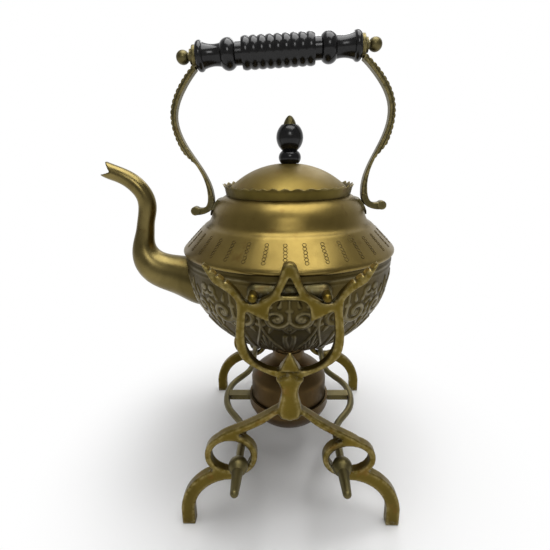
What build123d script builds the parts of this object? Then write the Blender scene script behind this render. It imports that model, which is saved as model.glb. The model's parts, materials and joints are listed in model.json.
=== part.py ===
"""Brass spirit kettle on an openwork stand, with its burner.

Millimetres, +Z up. The origin is on the ground, midway between the two stand frames.
The spout points along -X, the handle lies in the XZ plane, and the frames face -Y and +Y.
Profiles of turned pieces are lists of (radius, height), and outlines of flat castings are
lists of (x, z), written for the +X half and mirrored.
"""

import os
from math import cos, hypot, radians, sin, tan

from build123d import *

# ---------------------------------------------------------------- clearances
RUNNING_GAP = 0.05      # a shaft in its hole, and a part resting on its seat
BODY_GAP = 0.3          # curved faces of pieces that part from each other
PAST = 1.0              # cutting tools run this far past what they cut

# ---------------------------------------------------------------- stand frames
FRAME_SPACING = 163.4   # between the middles of the two castings
FRAME_T = 7.0
FOOT_OUTER_X = 73.8
FOOT_BAR_W = 9.0
FOOT_ARCH_X = 37.5      # centre of the quarter-round foot arch
FOOT_ARCH_Z = 10.5
LOOP_Z = 55.1
LOOP_RX = 12.9          # opening
LOOP_RZ = 10.75
LOOP_BAR = 4.2
LOOP_X = 38.2
LOOP_SAG = 1.9           # the loops stand this much lower or higher than even, by side
SHOULDER_TOP = [(0, 96), (8.3, 91), (22.3, 81.8), (35.3, 74.8), (43.5, 70.4), (49.3, 64.8), (53, 58)]
SHOULDER_UNDER = [(0, 89), (8, 87), (14, 82), (27.6, 73.6), (42, 65), (53, 58)]

COLUMN_T = 10.5
COLUMN_SIDE = [(5.4, 85), (7.2, 90), (6.2, 96), (5.0, 103.5), (6.4, 108.8), (8.7, 112.5)]
COLUMN_FOOT_Z = 83.4
COLUMN_CAP_Z = 116.4
COLUMN_EDGE = 1.6
LEAF_HALF_W = 6.3
LEAF_BASE_Z = 118.6
LEAF_APEX_Z = 129.2
LEAF_T = 9.4
LEAF_TIP = 1.0

FORK_OUTER = [(0, 111.5), (9, 114.2), (21.6, 120.4), (29.3, 127.3), (31.6, 135.5), (31, 150), (30.5, 163)]
FORK_INNER = [(0, 119.4), (11.7, 118.6), (20.8, 124.2), (25, 130.6), (26.6, 138.5), (26, 150), (25.5, 163)]
HORN_OUTER = [(30.6, 158), (33.1, 167.7), (37.2, 172.4), (41, 175.6), (44.2, 181), (47.4, 187.0)]
HORN_INNER = [(25.8, 158), (29.2, 168.8), (33, 173.8), (38, 178.4), (42.4, 183), (47.4, 187.0)]

ARCH_SIDE = [(0, 185), (4.85, 179.5), (7.3, 172.5), (11.2, 165.9), (16.4, 163)]
ARCH_EYE_HALF_W = 5.6   # triangular piercing
ARCH_EYE_Z = 165.8
ARCH_EYE_H = 11.6
ARCH_BAR_H = 2.6        # crossbar under it
ARCH_RING_R = 13.0      # round gap below the crossbar
ARCH_RING_LEG_Z = 150.0
BRACKET_OUTER_Z = 158.6
BRACKET_X = 28.4        # runs into the fork's upright

# ---------------------------------------------------------------- kettle rests
SADDLE_Z = 161.4
SADDLE_X = 21.4
REST_PEG_R = 2.7
REST_PEG_ROOT = 2.4     # the peg begins this far out from the rest bar's middle
REST_PEG_OUT = 1.2      # past the casting's outer face
REST_BAR_R = 6.0
REST_BAR_LEN = 51.0
REST_BAR_Y = 71.2
REST_PEG_Z = SADDLE_Z + RUNNING_GAP + REST_PEG_R

# ---------------------------------------------------------------- burner carrier
CARRIER_Z = 46.4        # middle of the bows and of the spokes
CARRIER_X = 33.3
CARRIER_BAR_D = 5.2
CARRIER_BOW_X = 51.2    # middle of the bar beside the burner
CARRIER_BOW_Y = 13.5
CARRIER_TURN_Y = 38.5
CARRIER_RISE_Y = 66.0   # the bars climb from the turn to here
CARRIER_TURN_R = 11.0
KNOB_Z = 50.8           # knobs sit a little higher than the bows
KNOB_R = 6.4
KNOB_OUT = 2.0          # middle of the knob, past the casting's face
KNOB_BAR_END = 3.0      # the bar's end inside the knob, short of the middle
KNOB_PEG_R = 3.6
KNOB_PEG_TIP_R = 2.6
KNOB_PEG_LEN = 24.5
SPOKE_W = 8.0
SPOKE_T = 4.4
CUP_R = 32.6
CUP_WALL = 1.5
CUP_RIM_Z = 50.5
CUP_RIM_H = 6.5
CUP_FLOOR_Z = 26.2
CUP_FLOOR_R = 13.0
CUP_BELLY = (26.6, 33.8)

# ---------------------------------------------------------------- burner
FONT_GAP = 0.7          # ring gap between the cup and the font
FONT_WALL = 1.3
FONT_WAIST_Z = 65.5
FONT_SHOULDER = [(28.6, 70.6), (22.6, 76.6), (17.0, 80.6), (13.0, 85.6)]
FONT_NECK_R = 12.4
FONT_NECK_Z = 90.8
WICK_TUBE_R = 6.2
WICK_TUBE_WALL = 1.0
WICK_TUBE_FLANGE_R = 11.4
WICK_TUBE_FLANGE_T = 1.6
WICK_TUBE_UP = 3.2
WICK_TUBE_DOWN = 10.0   # below the neck's top
WICK_R = 4.6
WICK_UP = 1.8
WICK_DOWN = 40.0

# ---------------------------------------------------------------- kettle body
KETTLE_WALL = 1.2
BASE_Z = 105.6
BASE_R = 32.0
SEAM_Z = 174.4          # the bowl's edge, under the rim bead
BOWL_SIDE = [(BASE_R, BASE_Z), (42, 109.8), (51.2, 116.8), (60.2, 126.2), (67.4, 137), (72.2, 149),
             (74.6, 161), (75.5, SEAM_Z)]
BEAD_R = 2.2
BEAD_OUT = 77.5         # radius over the rim bead
BEAD_TOP_ANGLE = 40     # where the cone leaves the bead
CONE_TOP = (60.8, 194.6)
STEP_IN = 1.0
UPPER_SIDE = [(59.8, 195), (57.2, 197.2), (55.9, 200.2), (54.4, 204.6), (50.2, 210.8), (45, 214.6)]
MOUTH_R = 39.8
MOUTH_LIP = 1.6
GALLERY_FOOT_R = 44.8
GALLERY_TOP_R = 46.6
GALLERY_H = 7.6
GALLERY_WALL = 1.1
GALLERY_SCALLOPS = 36
GALLERY_SCALLOP_R = 4.0
GALLERY_SCALLOP_DEPTH = 0.7

# ---------------------------------------------------------------- spout
SPOUT_WALL = 1.2
SPOUT_BORE_OVERRUN = 5.0
ROOT_SECTIONS = 4       # of the stations below, those that cross the bowl's side
# middle x, middle z, direction from +X, height across the curve
SPOUT_STATIONS = [(-54, 145.6, 168, 41), (-66, 148.2, 168, 37), (-78, 151.4, 166, 33),
                  (-92, 155.6, 160, 28.6), (-102.2, 160, 147, 26), (-108.2, 166.8, 126, 22.6),
                  (-109.6, 178.6, 90, 16.4), (-107.3, 190, 78, 13.3), (-105.0, 201, 82, 13.0),
                  (-105.0, 213, 100, 13.0), (-109.3, 220.4, 126, 12.6), (-116, 226.2, 145, 12.0),
                  (-123.5, 229.9, 153, 11.6), (-131.5, 233.1, 157, 11.4), (-140, 236.7, 158, 11.2)]
SPOUT_ROUNDNESS = 0.94  # width across Y over the height
BEAK_NOTCH = (-127.8, 231.5)
BEAK_UPPER = (-131.4, 238.9)
BEAK_LOWER = (-138.2, 229.2)

# ---------------------------------------------------------------- handle
HANDLE_LEAN = 3.4       # degrees that the arms lean towards the spout
GRIP_TILT = 2.6         # degrees that the grip slopes down to the spout side
FOOT_TILT = 1.3         # the same at the arms' feet
HANDLE_FOOT_Z = 203.0
ARM_T = 7.0
ARM_OUTER_BOW = [(57, 303), (67.8, 291.5), (76.6, 272.5), (75.7, 258), (71.4, 246.2)]
ARM_OUTER_FOOT = [(63.6, 237.6), (58.8, 226.3), (57.6, 215.5), (59.5, 208.3), (66.4, 206.9)]
ARM_INNER = [(55.2, 300), (65.2, 288.4), (73.0, 270.3), (68.4, 250.8), (60.0, 235.7), (54.6, 222.8),
             (53.4, 213.4), (55, 206.4), (59.9, 202.9), (67, 201.7)]
CURL_X = 68.2
CURL_Z = 204.6
CURL_R = 3.2
CURL_T = 7.6
PAD_T = 1.5
PAD_HALF_W = 11.0
PAD_TOP_Z = 211.6
PAD_POINT_Z = 199.4
PAD_SHOULDER_Z = 205.0
EYE_R = 7.2
EYE_T = 2.6
ROD_R = 2.2
ROD_INTO_FINIAL = 7.0

# ---------------------------------------------------------------- grip
GRIP_Z = 308.2
GRIP_HALF = 54.5
RIB_COUNT = 9
RIB_R = 10.4
RIB_ROOT_R = 9.6
RIB_SPAN = 48.2
GROOVE_R = 7.2
GROOVE_END = 28.4
BULGE_R = 10.0
BULGE_END = 38.4
WAIST_R = 6.7
WAIST_X = 42.4
FLANGE_R = 9.7
FLANGE_T = 4.6
FLANGE_EDGE = 1.5       # how far its round edge falls at both faces
FINIAL_PLATE_R = 4.8
FINIAL_PLATE_T = 1.8
FINIAL_NECK_R = 2.7
FINIAL_NECK_T = 1.2
FINIAL_BALL_R = 4.6

# ---------------------------------------------------------------- lid
LID_EDGE_R = 43.2
LID_RIM_Z = 220.4
LID_RIM_R = 41.2
LID_CROWN = (23.4, 231.9)
LID_CROWN_IN = 0.5      # the crown's wall moves in this much for each mm down
LID_TOP_Z = 236.2
LID_WALL = 1.2
LID_SEAT_W = 4.0
PLUG_H = 5.5
PLUG_WALL = 1.2
PLUG_GAP = 0.6
KNOB_X = 1.3            # the knob stands a little off the lid's middle, away from the spout
KNOB_BASE_R = 6.3
LOWER_BULGE_R = 7.9
LOWER_BULGE_Z = 240.2
KNOB_NECK_R = 5.3
KNOB_NECK_Z = 244.9
BALL_R = 9.4
BALL_Z = 254.6
BALL_TOP_Z = 262.2
CAP_R = 5.4
CAP_H = 6.0
CAP_SHAPE = [(0.86, 0.3), (0.45, 0.66), (0, 1)]
CAP_SPIGOT_R = 1.6
CAP_SPIGOT_LEN = 6.0
STUD_R = 2.0
STUD_LEN = 14.0
STUD_HEAD_R = 4.0
STUD_HEAD_T = 2.2
STUD_HEAD_DROP = 0.25   # clears the dome's curve at the head's edge

# ---------------------------------------------------------------- derived places
FRAME_Y = FRAME_SPACING / 2
FRAME_FACE_Y = FRAME_Y + FRAME_T / 2
FOOT_ARCH_OUTER_R = FOOT_OUTER_X - FOOT_ARCH_X
FOOT_ARCH_INNER_R = FOOT_ARCH_OUTER_R - FOOT_BAR_W
KNOB_SEAT_R = (KNOB_R ** 2 - KNOB_OUT ** 2) ** 0.5 + RUNNING_GAP
LID_SEAT_Z = UPPER_SIDE[-1][1] + RUNNING_GAP
FONT_FLOOR_Z = CUP_FLOOR_Z + CUP_WALL + RUNNING_GAP
FONT_R = CUP_R - CUP_WALL - FONT_GAP
EYE_X = GRIP_HALF + RUNNING_GAP
FINIAL_X = EYE_X + EYE_T
FAR = 400.0             # longer than the whole kettle, for cutting tools


# ---------------------------------------------------------------- helpers
def closed(*edges):
    """A face inside edges that meet end to end."""
    return make_face(list(edges))


def band(outer, inner):
    """A flat strip between two smooth edges that start together and end together."""
    ends = [Line(inner[0], outer[0])]
    if outer[-1] != inner[-1]:
        ends.append(Line(outer[-1], inner[-1]))
    return closed(Spline(*outer), Spline(*inner), *ends)


def both_sides(half):
    """A half outline and its mirror image across the YZ plane."""
    return half + mirror(half, about=Plane.YZ)


def upright(face, middle_y, thickness):
    """A casting of an (x, z) outline, standing in the XZ plane with its middle at middle_y."""
    placed = Plane(origin=(0, middle_y, 0), x_dir=(1, 0, 0), z_dir=(0, -1, 0)) * face
    return extrude(placed, amount=thickness / 2, both=True)


def turned(face):
    """A piece turned about the Z axis from an (r, z) profile."""
    return revolve(Plane.XZ * face, Axis.Z)


def turned_solid(points, curved=True):
    """A turned piece that is solid from the axis out to a profile that runs upwards."""
    side = Spline(*points) if curved else Polyline(*points)
    (bottom_r, bottom_z), (top_r, top_z) = points[0], points[-1]
    axis = Polyline((top_r, top_z), (0, top_z), (0, bottom_z), (bottom_r, bottom_z))
    return turned(closed(side, axis))


def inset(points, wall):
    """A profile that runs upwards, moved in by the wall, square to itself."""
    moved = []
    last = len(points) - 1
    for index, (r, z) in enumerate(points):
        r0, z0 = points[max(index - 1, 0)]
        r1, z1 = points[min(index + 1, last)]
        run = hypot(r1 - r0, z1 - z0)
        moved.append((r - wall * (z1 - z0) / run, z + wall * (r1 - r0) / run))
    return moved


def turned_wall(points, wall):
    """A turned skin of even thickness, with the profile outside."""
    inner = inset(points, wall)
    top, foot = Line(points[-1], inner[-1]), Line(inner[0], points[0])
    return turned(closed(Spline(*points), top, Spline(*inner), foot))


def ring(outer_r, inner_r, low_z, high_z):
    """A flat-ended ring about the Z axis."""
    middle = Pos(0, 0, (low_z + high_z) / 2)
    return middle * Cylinder(outer_r, high_z - low_z) - middle * Cylinder(inner_r, high_z - low_z + PAST)


def along_x(profile):
    """A piece turned about a line along X at the grip's height, from an (x, r) profile."""
    face = Plane(origin=(0, 0, GRIP_Z), x_dir=(1, 0, 0), z_dir=(0, -1, 0)) * profile
    return revolve(face, Axis((0, 0, GRIP_Z), (1, 0, 0)))


def leaned(x, z):
    """Where a point of the upright handle goes: over towards the spout, and down on that side."""
    up = (z - HANDLE_FOOT_Z) / (GRIP_Z - HANDLE_FOOT_Z)
    tilt = radians(FOOT_TILT + (GRIP_TILT - FOOT_TILT) * up)
    return (x - (z - HANDLE_FOOT_Z) * tan(radians(HANDLE_LEAN)), z + x * sin(tilt))


def lean(piece):
    """A piece on the grip's line, moved and turned to the leaning grip."""
    middle_x, middle_z = leaned(0, GRIP_Z)
    return Pos(middle_x, 0, middle_z) * Rot(0, -GRIP_TILT, 0) * Pos(0, 0, -GRIP_Z) * piece


# ---------------------------------------------------------------- stand
def foot_half():
    """A flat foot under a quarter-round arch."""
    arch = Circle(FOOT_ARCH_OUTER_R) - Circle(FOOT_ARCH_INNER_R)
    side = FOOT_ARCH_OUTER_R
    quarter = Pos(side / 2, side / 2) * Rectangle(side, side)
    leg = Pos(FOOT_OUTER_X - FOOT_BAR_W / 2, FOOT_ARCH_Z / 2) * Rectangle(FOOT_BAR_W, FOOT_ARCH_Z)
    return Pos(FOOT_ARCH_X, FOOT_ARCH_Z) * (arch & quarter) + leg


def fork_half():
    """The fork's curved arm and upright, with the horn that spreads from its top."""
    return band(FORK_OUTER, FORK_INNER) + band(HORN_OUTER, HORN_INNER)


def arch_half():
    """The pointed arch between the uprights, with the bracket whose top is the saddle."""
    ring_z = ARCH_EYE_Z - ARCH_BAR_H - ARCH_RING_R
    leg_x = (ARCH_RING_R ** 2 - (ARCH_RING_LEG_Z - ring_z) ** 2) ** 0.5
    turn = radians(45)
    gap = ThreePointArc((leg_x, ARCH_RING_LEG_Z), (ARCH_RING_R * cos(turn), ring_z + ARCH_RING_R * sin(turn)),
                        (0, ring_z + ARCH_RING_R))
    side = Spline(*ARCH_SIDE, tangents=[(1, 0), (1, -0.5)])
    edge = Polyline(ARCH_SIDE[-1], (SADDLE_X - REST_PEG_R, SADDLE_Z), (BRACKET_X, SADDLE_Z),
                    (BRACKET_X, BRACKET_OUTER_Z), (leg_x, ARCH_RING_LEG_Z))
    return closed(side, edge, gap, Line((0, ring_z + ARCH_RING_R), ARCH_SIDE[0]))


def frame_half(sag):
    """Half of the casting, its loop and shoulder lowered by the sag at their tops."""
    middle = Pos(LOOP_X, LOOP_Z - sag / 2)
    rise = LOOP_RZ - sag / 2
    top = [(x, z - sag * x / LOOP_X) for x, z in SHOULDER_TOP]
    under = [(x, z - sag * x / LOOP_X) for x, z in SHOULDER_UNDER]
    half = foot_half() + middle * Ellipse(LOOP_RX + LOOP_BAR, rise + LOOP_BAR) + band(top, under)
    half += fork_half() + arch_half()
    half -= middle * Ellipse(LOOP_RX, rise)
    return half - Pos(CARRIER_X, KNOB_Z) * Circle(KNOB_SEAT_R)


def frame_outline():
    """The whole pierced casting, seen from the front."""
    eye = Polygon((-ARCH_EYE_HALF_W, ARCH_EYE_Z), (ARCH_EYE_HALF_W, ARCH_EYE_Z), (0, ARCH_EYE_Z + ARCH_EYE_H),
                  align=None)
    return frame_half(LOOP_SAG) + mirror(frame_half(-LOOP_SAG), about=Plane.YZ) - eye


def column_outline():
    """The vase-shaped column with its gabled cap."""
    half = closed(Spline(*COLUMN_SIDE), Line(COLUMN_SIDE[-1], (0, COLUMN_CAP_Z)),
                  Line((0, COLUMN_CAP_Z), (0, COLUMN_FOOT_Z)), Line((0, COLUMN_FOOT_Z), COLUMN_SIDE[0]))
    return both_sides(half)


def stand_frame(side):
    """One cast frame. side is -1 for the front and 1 for the rear."""
    middle_y = side * FRAME_Y
    column = upright(column_outline(), middle_y, COLUMN_T)
    column = chamfer(column.faces().filter_by(Axis.Y).edges(), COLUMN_EDGE)
    base = Plane(origin=(0, middle_y, LEAF_BASE_Z)) * Rectangle(2 * LEAF_HALF_W, LEAF_T)
    tip = Plane(origin=(0, middle_y, LEAF_APEX_Z)) * Rectangle(LEAF_TIP, LEAF_TIP)
    leaf = loft([base.face(), tip.face()], ruled=True)
    return upright(frame_outline(), middle_y, FRAME_T) + column + leaf


def carrier_bar(side):
    """A bow from knob to knob. side is -1 for the spout side and 1 for the handle side."""
    end_y = FRAME_FACE_Y + KNOB_OUT - KNOB_BAR_END
    half = [(CARRIER_X, end_y, KNOB_Z), (CARRIER_X, CARRIER_RISE_Y, KNOB_Z),
            (CARRIER_X, CARRIER_TURN_Y, CARRIER_Z), (CARRIER_BOW_X, CARRIER_BOW_Y, CARRIER_Z)]
    plan = [(x, -y, z) for x, y, z in half] + half[::-1]
    path = FilletPolyline(*[(side * x, y, z) for x, y, z in plan], radius=CARRIER_TURN_R)
    section = Plane(origin=path @ 0, z_dir=path % 0) * Circle(CARRIER_BAR_D / 2)
    return sweep(section, path=path)


def carrier_knob():
    """A round knob with a tapered peg, along +Z from the casting's outer face, bored for the bar's end."""
    shoulder_z = KNOB_OUT + (KNOB_R ** 2 - KNOB_PEG_R ** 2) ** 0.5
    tip_z = KNOB_OUT + KNOB_PEG_LEN
    turn = radians(45)
    profile = closed(
        Line((0, tip_z), (0, KNOB_OUT - KNOB_R)),
        ThreePointArc((0, KNOB_OUT - KNOB_R), (KNOB_R, KNOB_OUT), (KNOB_PEG_R, shoulder_z)),
        Line((KNOB_PEG_R, shoulder_z), (KNOB_PEG_TIP_R, tip_z - KNOB_PEG_TIP_R)),
        ThreePointArc((KNOB_PEG_TIP_R, tip_z - KNOB_PEG_TIP_R),
                      (KNOB_PEG_TIP_R * cos(turn), tip_z - KNOB_PEG_TIP_R * (1 - sin(turn))), (0, tip_z)))
    bore_end = KNOB_OUT - KNOB_BAR_END + RUNNING_GAP
    bore = Pos(0, 0, bore_end - KNOB_R) * Cylinder(CARRIER_BAR_D / 2 + RUNNING_GAP, 2 * KNOB_R)
    return turned(profile) - bore


def carrier_knobs():
    """The four knobs with their pegs, outside the frames."""
    knob = carrier_knob()
    return [Pos(x, y * FRAME_FACE_Y, KNOB_Z) * Rot(-90 * y, 0, 0) * knob
            for x in (-CARRIER_X, CARRIER_X) for y in (-1, 1)]


def carrier_spokes():
    """Two straps from the bows to the cup's side."""
    strap = Pos(CARRIER_BOW_X / 2, 0, CARRIER_Z) * Box(CARRIER_BOW_X, SPOKE_W, SPOKE_T)
    bar = Pos(CARRIER_BOW_X, 0, CARRIER_Z) * Rot(90, 0, 0) * Cylinder(CARRIER_BAR_D / 2, SPOKE_W + PAST)
    cup = turned(cup_side(0))
    spoke = strap - bar - cup
    return [spoke, mirror(spoke, about=Plane.YZ)]


def belly_point(offset):
    """The middle of the cup's rounded belly, moved in by an offset."""
    turn = radians(45)
    return (CUP_BELLY[0] - offset * cos(turn), CUP_BELLY[1] + offset * sin(turn))


def cup_side(offset):
    """The cup's profile, moved in by an offset."""
    return closed(
        Polyline((CUP_FLOOR_R, CUP_FLOOR_Z + offset), (0, CUP_FLOOR_Z + offset), (0, CUP_RIM_Z + offset),
                 (CUP_R - offset, CUP_RIM_Z + offset), (CUP_R - offset, CUP_RIM_Z - CUP_RIM_H)),
        ThreePointArc((CUP_R - offset, CUP_RIM_Z - CUP_RIM_H), belly_point(offset),
                      (CUP_FLOOR_R, CUP_FLOOR_Z + offset)))


def burner_cup():
    """The cup that the burner stands in."""
    return turned(cup_side(0)) - turned(cup_side(CUP_WALL))


# ---------------------------------------------------------------- burner
def font_body(offset):
    """The burner font's outside as a solid, moved in by an offset."""
    floor = (CUP_FLOOR_R - FONT_GAP - offset, FONT_FLOOR_Z + offset)
    rim = (FONT_R - offset, CUP_RIM_Z - CUP_RIM_H)
    waist = (FONT_R - offset, FONT_WAIST_Z - offset)
    shoulder = [(r - offset, z - offset) for r, z in FONT_SHOULDER]
    neck_z = FONT_NECK_Z - offset
    return turned(closed(
        ThreePointArc(floor, belly_point(CUP_WALL + FONT_GAP + offset), rim), Line(rim, waist),
        Spline(waist, *shoulder, tangents=[(0, 1), (-0.3, 1)]),
        Polyline(shoulder[-1], (FONT_NECK_R - offset, neck_z), (0, neck_z), (0, floor[1]), floor)))


def burner_font():
    """The hollow font, with a hole in its top for the wick tube."""
    bore = Pos(0, 0, FONT_NECK_Z) * Cylinder(WICK_TUBE_R + RUNNING_GAP, 4 * FONT_WALL)
    return font_body(0) - font_body(FONT_WALL) - bore


def wick_tube():
    """The tube that holds the wick, with the flange that drops onto the font's neck."""
    low_z = FONT_NECK_Z - WICK_TUBE_DOWN
    high_z = FONT_NECK_Z + WICK_TUBE_FLANGE_T + WICK_TUBE_UP
    bore_r = WICK_TUBE_R - WICK_TUBE_WALL
    tube = ring(WICK_TUBE_R, bore_r, low_z, high_z)
    flange = ring(WICK_TUBE_FLANGE_R, bore_r, FONT_NECK_Z, FONT_NECK_Z + WICK_TUBE_FLANGE_T)
    return tube + flange


def wick():
    """The round wick."""
    high_z = FONT_NECK_Z + WICK_TUBE_FLANGE_T + WICK_TUBE_UP + WICK_UP
    return Pos(0, 0, high_z - WICK_DOWN / 2) * Cylinder(WICK_R, WICK_DOWN)


# ---------------------------------------------------------------- kettle body
def bowl_envelope():
    """The bowl's outside, solid."""
    return turned_solid(BOWL_SIDE)


def spout_section(index, offset, run=0.0):
    """One round section of the spout, moved in by an offset and along its own direction by a run."""
    x, z, heading, height = SPOUT_STATIONS[index]
    forward = (cos(radians(heading)), 0, sin(radians(heading)))
    origin = (x + run * forward[0], 0, z + run * forward[2])
    half = height / 2 - offset
    section = Plane(origin=origin, x_dir=(0, 1, 0), z_dir=forward) * Ellipse(half * SPOUT_ROUNDNESS, half)
    return section.face()


def spout_tube(offset, overrun=0.0):
    """The spout's curved form, moved in by an offset, with both ends run on along its curve."""
    last = len(SPOUT_STATIONS) - 1
    between = [spout_section(index, offset) for index in range(1, last)]
    return loft([spout_section(0, offset, -overrun), *between, spout_section(last, offset, overrun)])


def spout_bore():
    """The passage inside the spout."""
    return spout_tube(SPOUT_WALL, SPOUT_BORE_OVERRUN)


def bowl_opening():
    """The hole through the bowl's side where the spout's passage begins."""
    return loft([spout_section(index, SPOUT_WALL) for index in range(ROOT_SECTIONS)], ruled=True)


def beak_cutter():
    """Everything beyond the open beak: a wedge from the notch out past both lips."""
    far_x = BEAK_LOWER[0] - FAR
    upper_run = (BEAK_UPPER[0] - BEAK_NOTCH[0], BEAK_UPPER[1] - BEAK_NOTCH[1])
    lower_run = (BEAK_LOWER[0] - BEAK_NOTCH[0], BEAK_LOWER[1] - BEAK_NOTCH[1])
    reach = 10
    upper = (BEAK_NOTCH[0] + reach * upper_run[0], BEAK_NOTCH[1] + reach * upper_run[1])
    lower = (BEAK_NOTCH[0] + reach * lower_run[0], BEAK_NOTCH[1] + reach * lower_run[1])
    wedge = Polygon(BEAK_NOTCH, upper, (far_x, upper[1]), (far_x, lower[1]), lower, align=None)
    return upright(wedge, 0, FAR)


def kettle_bowl():
    """The bowl, hollow, with the hole that opens into the spout."""
    floor = Pos(0, 0, BASE_Z + KETTLE_WALL / 2) * Cylinder(BASE_R, KETTLE_WALL)
    above = Pos(0, 0, SEAM_Z + KETTLE_WALL) * Cylinder(BEAD_OUT, 2 * KETTLE_WALL)
    return turned_wall(BOWL_SIDE, KETTLE_WALL) + floor - above - bowl_opening()


def kettle_spout():
    """The swan-neck spout, hollow, seated on the bowl's side."""
    return spout_tube(0) - spout_bore() - bowl_envelope() - beak_cutter()


def on_bead(angle):
    """A point on the rim bead's round section."""
    turn = radians(angle)
    return (BEAD_OUT - BEAD_R + BEAD_R * cos(turn), SEAM_Z + BEAD_R + BEAD_R * sin(turn))


def kettle_shoulder():
    """The plain upper body: rim bead, cone, step, flare and shoulder up to the mouth."""
    cone = [on_bead(BEAD_TOP_ANGLE), CONE_TOP]
    cone_in = inset(cone, KETTLE_WALL)
    step = (CONE_TOP[0] - STEP_IN, CONE_TOP[1])
    upper_in = inset(UPPER_SIDE, KETTLE_WALL)
    lip_z = UPPER_SIDE[-1][1]
    seat_r = BOWL_SIDE[-1][0] - 2 * KETTLE_WALL
    return turned(closed(
        ThreePointArc(on_bead(-90), on_bead(0), on_bead(BEAD_TOP_ANGLE)),
        Polyline(*cone, step, UPPER_SIDE[0]), Spline(*UPPER_SIDE),
        Polyline(UPPER_SIDE[-1], (MOUTH_R, lip_z), (MOUTH_R, lip_z - MOUTH_LIP), upper_in[-1]),
        Spline(*upper_in), Polyline(upper_in[0], cone_in[-1], cone_in[0], (seat_r, SEAM_Z), on_bead(-90))))


def gallery():
    """The flared collar round the mouth, its edge cut in small scallops."""
    low_z = UPPER_SIDE[-1][1]
    high_z = low_z + GALLERY_H
    collar = turned(Polygon(
        (GALLERY_FOOT_R, low_z), (GALLERY_TOP_R, high_z), (GALLERY_TOP_R - GALLERY_WALL, high_z),
        (GALLERY_FOOT_R - GALLERY_WALL, low_z), align=None))
    scallop_z = high_z + GALLERY_SCALLOP_R - GALLERY_SCALLOP_DEPTH
    scallop = Rot(0, 90, 0) * Cylinder(GALLERY_SCALLOP_R, 8 * GALLERY_WALL)
    cutter = Pos(GALLERY_TOP_R, 0, scallop_z) * scallop
    return collar - [Rot(0, 0, turn * 360 / GALLERY_SCALLOPS) * cutter for turn in range(GALLERY_SCALLOPS)]


def rest_bar(side):
    """The round-ended bar across the bowl that carries two rest pegs."""
    turn = Rot(0, 90, 0)
    middle = Pos(0, side * REST_BAR_Y, REST_PEG_Z)
    straight = REST_BAR_LEN - 2 * REST_BAR_R
    bar = middle * turn * Cylinder(REST_BAR_R, straight)
    for end in (-1, 1):
        bar += middle * Pos(end * straight / 2, 0, 0) * Sphere(REST_BAR_R)
    holes = [rest_peg(x, side, RUNNING_GAP) for x in (-SADDLE_X, SADDLE_X)]
    return bar - bowl_envelope() - holes


def rest_peg(x, side, gap=0.0):
    """A round-nosed peg from the rest bar out over the frame's saddle, or the space for it with a gap."""
    radius = REST_PEG_R + gap
    start = REST_BAR_Y + REST_PEG_ROOT - gap
    nose_y = FRAME_FACE_Y + REST_PEG_OUT - REST_PEG_R
    length = nose_y - start
    shaft = Pos(x, side * (start + length / 2), REST_PEG_Z) * Rot(90, 0, 0) * Cylinder(radius, length)
    return shaft + Pos(x, side * nose_y, REST_PEG_Z) * Sphere(radius)


def rest_pegs(x):
    """The front and rear pegs of one side of the kettle."""
    return [rest_peg(x, -1), rest_peg(x, 1)]


# ---------------------------------------------------------------- handle
def shoulder_envelope(offset):
    """The upper body's outside, solid, moved out by an offset."""
    return turned_solid(inset(UPPER_SIDE, -offset))


def handle_pad(side):
    """A shield-shaped plate bent to the shoulder. side is -1 for the spout side."""
    shield = Polygon((-PAD_HALF_W, PAD_TOP_Z), (PAD_HALF_W, PAD_TOP_Z), (PAD_HALF_W, PAD_SHOULDER_Z),
                     (0, PAD_POINT_Z), (-PAD_HALF_W, PAD_SHOULDER_Z), align=None)
    prism = extrude(Plane.YZ * shield, amount=side * FAR)
    return (shoulder_envelope(PAD_T) - shoulder_envelope(0)) & prism


def handle_arm(side):
    """A cast arm: curl, narrow foot, kinked bow and the eye that the tie rod passes through."""
    bow = [leaned(side * x, z) for x, z in ARM_OUTER_BOW]
    foot = [leaned(side * x, z) for x, z in ARM_OUTER_FOOT]
    inner = [leaned(side * x, z) for x, z in ARM_INNER]
    arm = closed(Spline(*bow), Line(bow[-1], foot[0]), Spline(*foot), Line(foot[-1], inner[-1]),
                 Spline(*inner), Line(inner[0], bow[0]))
    curl = Pos(*leaned(side * CURL_X, CURL_Z)) * Circle(CURL_R)
    solid = upright(arm, 0, ARM_T) + upright(curl, 0, CURL_T)
    turn = Rot(0, 90, 0)
    solid -= lean(Pos(0, 0, GRIP_Z) * Box(2 * EYE_X, FAR, 4 * EYE_R))
    solid += lean(Pos(side * (EYE_X + EYE_T / 2), 0, GRIP_Z) * turn * Cylinder(EYE_R, EYE_T))
    outside = Pos(side * (FINIAL_X + FAR / 2), 0, GRIP_Z) * turn * Cylinder(FINIAL_PLATE_R + BODY_GAP, FAR)
    hole = Pos(side * EYE_X, 0, GRIP_Z) * turn * Cylinder(ROD_R + RUNNING_GAP, 6 * EYE_T)
    return solid - lean(outside) - lean(hole) - shoulder_envelope(PAD_T)


def tie_rod():
    """The rod through both eyes and the grip, ending inside the finials."""
    length = 2 * (FINIAL_X + ROD_INTO_FINIAL)
    return lean(Pos(0, 0, GRIP_Z) * Rot(0, 90, 0) * Cylinder(ROD_R, length))


def rib_profile():
    """The ribbed middle of the grip, from end to end."""
    pitch = RIB_SPAN / RIB_COUNT
    edges = []
    for rib in range(RIB_COUNT):
        start = -RIB_SPAN / 2 + rib * pitch
        top, end = (start + pitch / 2, RIB_R), (start + pitch, RIB_ROOT_R)
        edges.append(ThreePointArc((start, RIB_ROOT_R), top, end))
    return edges


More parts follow.
